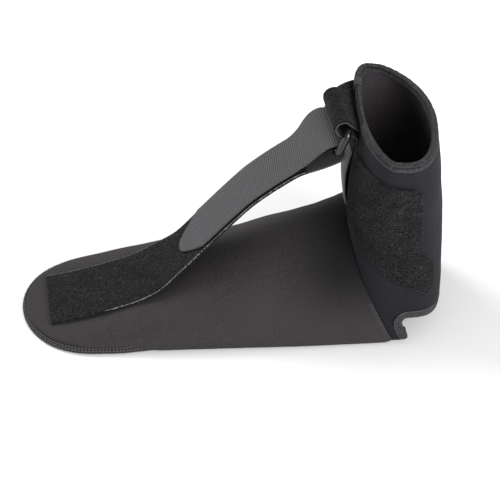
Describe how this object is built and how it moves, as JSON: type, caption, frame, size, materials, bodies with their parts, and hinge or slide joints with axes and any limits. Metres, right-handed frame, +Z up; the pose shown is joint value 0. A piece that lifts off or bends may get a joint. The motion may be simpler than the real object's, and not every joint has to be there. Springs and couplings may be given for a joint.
{
  "type": "ankle and foot night splint",
  "caption": "Soft L-shaped foot and ankle sleeve with open heel, leg cuff and a toe strap that loops through a ring to hold the foot flexed.",
  "frame": {"origin": "on the underside of the flat sole, on the foot's centre line, 144.5 mm behind the toe tip", "axes": "+X from the toe towards the heel, +Y across the foot to the side away from the camera, +Z up the leg"},
  "size_m": [0.2904, 0.1116, 0.1728],
  "materials": {
    "foot_neoprene": "matt knit face",
    "cuff_neoprene": "matt knit face",
    "binding_tape": "fuzzy knit edge tape",
    "loop_pile": "loop pile",
    "hook_tape": "ribbed woven tape",
    "ring_plastic": "semi-gloss moulded"
  },
  "bodies": {
    "root": {"sole_panel": "foot_neoprene", "upper_panel": "foot_neoprene", "cuff_main": "cuff_neoprene", "cuff_front": "cuff_neoprene", "top_binding": "binding_tape", "front_binding": "binding_tape", "cuff_loop_patch": "loop_pile", "toe_strap": "loop_pile", "hook_tape": "hook_tape", "ring": "ring_plastic", "ring_tab": "loop_pile", "front_tape": "hook_tape"}
  },
  "joints": []
}
